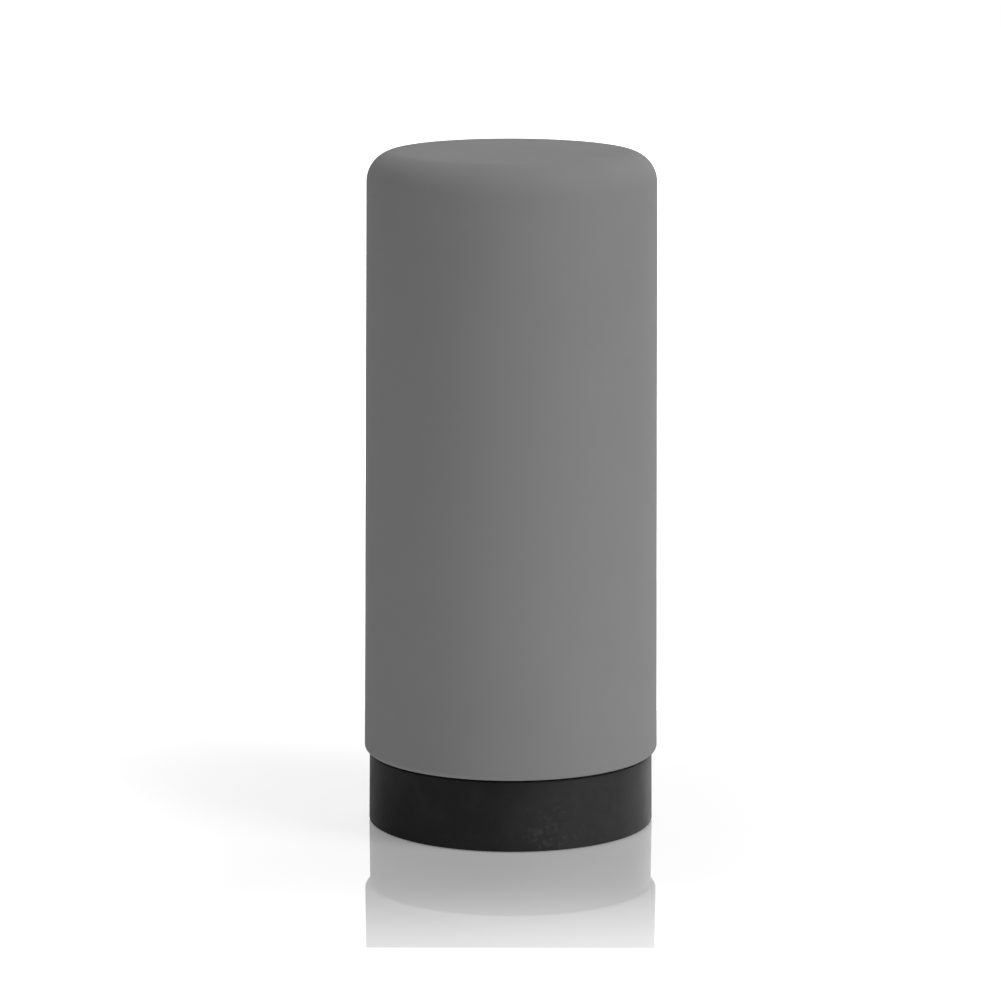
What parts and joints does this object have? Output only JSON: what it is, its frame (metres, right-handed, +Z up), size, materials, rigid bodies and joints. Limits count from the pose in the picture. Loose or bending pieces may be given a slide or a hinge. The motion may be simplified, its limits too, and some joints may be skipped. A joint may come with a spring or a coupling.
{
  "type": "squeeze bottle",
  "caption": "Round silicone squeeze bottle, closed on top, that stands on a screwed black base and dispenses downwards through a slit valve.",
  "frame": {"origin": "middle of the underside of the foot ring, on the table", "axes": "+Z up along the axis of the bottle, X and Y across it, with the picture taken from the -Y side"},
  "size_m": [0.0614, 0.0614, 0.142],
  "materials": {
    "silicone_grey": "soft matt grey silicone with a very fine satin skin",
    "base_black": "fine matt black moulded plastic",
    "collar_plastic": "dark grey moulded plastic with a fine tool grain",
    "retainer_plastic": "natural off-white moulded plastic",
    "valve_silicone": "milky translucent silicone",
    "seal_rubber": "smooth black rubber",
    "foot_rubber": "soft dark non-slip rubber"
  },
  "bodies": {
    "base": {"base_shell": "base_black", "valve_carrier": "base_black", "slit_valve": "valve_silicone", "valve_retainer": "retainer_plastic", "foot_ring": "foot_rubber"},
    "seal": {"neck_seal": "seal_rubber"},
    "bottle": {"squeeze_body": "silicone_grey", "neck_collar": "collar_plastic", "clamp_ring": "collar_plastic"}
  },
  "joints": [
    {"name": "bottle_rise", "type": "slide", "parent": "base", "child": "seal", "axis": [0, 0, 1], "range_m": [0, 0.0034]},
    {"name": "bottle_turn", "type": "hinge", "parent": "seal", "child": "bottle", "pos_m": [0, 0, 0.0152], "axis": [0, 0, 1], "range_deg": [0, 432]}
  ],
  "couplings": [
    {"joint": "bottle_rise", "follows": "bottle_turn", "m_per_rad": 0.00044563}
  ]
}
